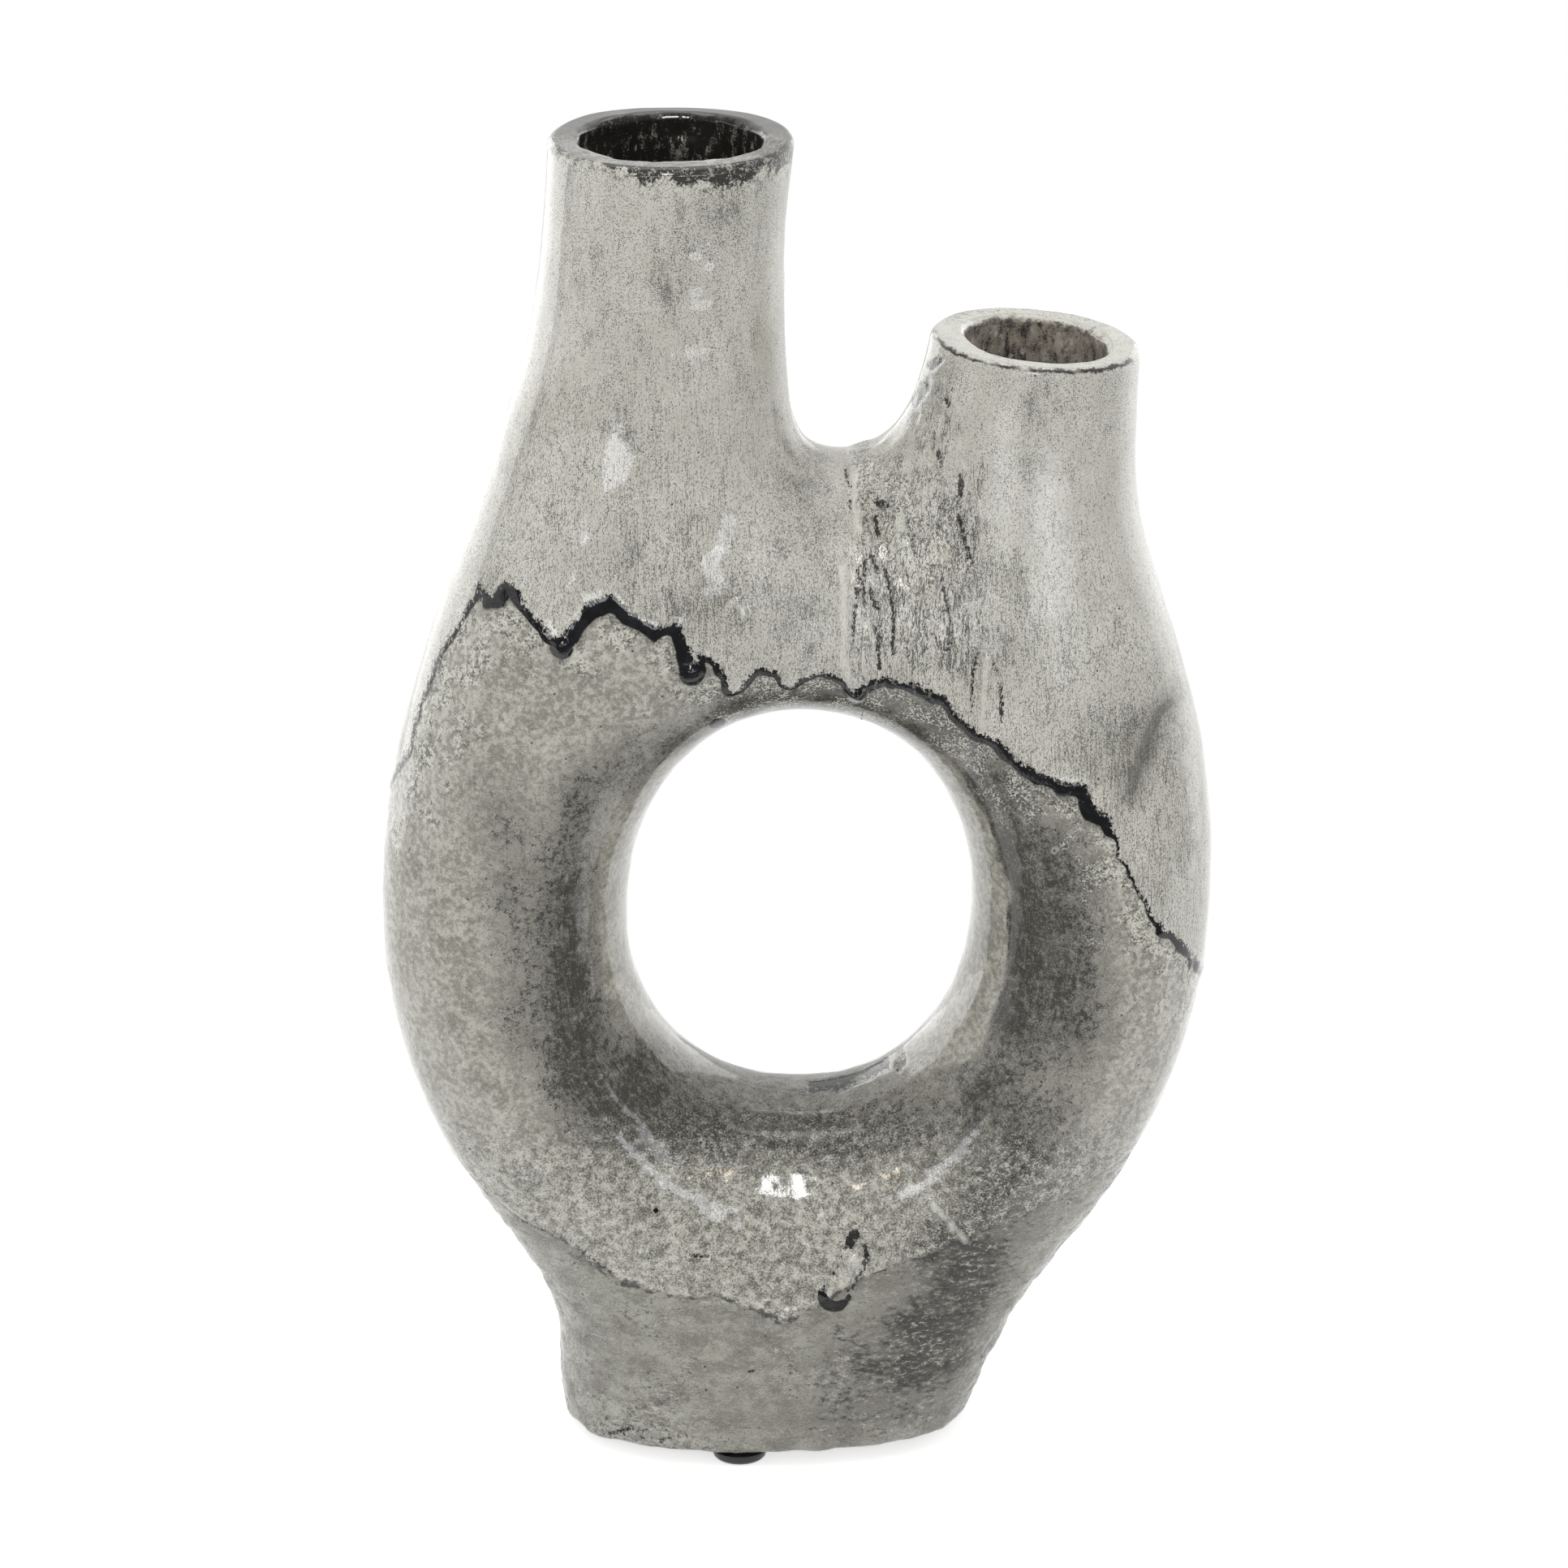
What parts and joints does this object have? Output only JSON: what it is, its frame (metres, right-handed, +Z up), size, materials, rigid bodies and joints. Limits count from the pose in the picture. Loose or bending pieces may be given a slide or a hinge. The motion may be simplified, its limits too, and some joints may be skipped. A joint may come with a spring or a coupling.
{
  "type": "ring vase with two necks",
  "caption": "Hand-built glazed stoneware ring vase with an open centre, a tall and a short neck, an oval foot and rubber pads.",
  "frame": {"origin": "middle of the bounding box, on the table under the rubber pads", "axes": "+Z up, front towards -Y, +X to the right of the camera; the tall neck is on the -X side"},
  "size_m": [0.2338, 0.0754, 0.38],
  "materials": {
    "glazed_stoneware": "gloss",
    "black_rubber": "matte"
  },
  "bodies": {
    "root": {"left_ring_half": "glazed_stoneware", "right_ring_half": "glazed_stoneware", "tall_neck": "glazed_stoneware", "short_neck": "glazed_stoneware", "foot_collar": "glazed_stoneware", "base_slab": "glazed_stoneware", "front_pad": "black_rubber", "back_pad": "black_rubber", "left_pad": "black_rubber", "right_pad": "black_rubber"}
  },
  "joints": []
}
